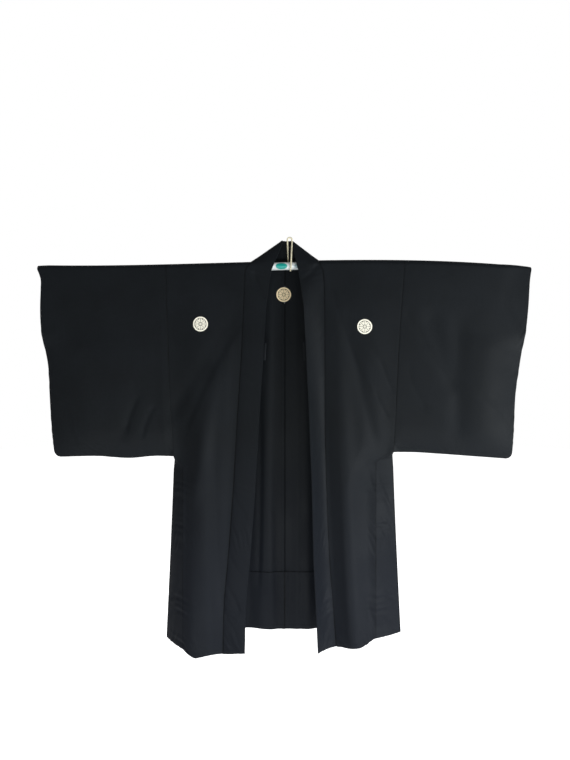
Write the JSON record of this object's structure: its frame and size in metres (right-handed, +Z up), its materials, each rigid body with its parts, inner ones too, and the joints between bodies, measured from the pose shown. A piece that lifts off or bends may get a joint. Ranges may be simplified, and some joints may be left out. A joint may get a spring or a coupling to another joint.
{
  "type": "haori jacket on a hanging rod",
  "caption": "Unlined men's haori jacket of dark silk, hung open on a slim rod through both sleeves, with a doubled hanging cord.",
  "frame": {"origin": "inside of the top bend of the doubled hanging cord, where a hook or nail holds it", "axes": "+X to the wearer's left along the rod, -Y the way the open fronts face, +Z up"},
  "size_m": [1.2532, 0.117, 1.0518],
  "materials": {
    "silk": "black plain-weave silk with a soft low sheen; crests in ivory",
    "rod": "white smooth, half gloss",
    "cord": "beige twisted string, dull"
  },
  "bodies": {
    "root": {"body_left": "silk", "body_right": "silk", "sleeve_left": "silk", "sleeve_right": "silk", "gusset_left": "silk", "gusset_right": "silk", "collar_band": "silk", "hem_turnup_left": "silk", "hem_turnup_right": "silk", "cord_loop_left": "silk", "cord_loop_right": "silk", "rod": "rod", "hanging_cord": "cord"}
  },
  "joints": []
}
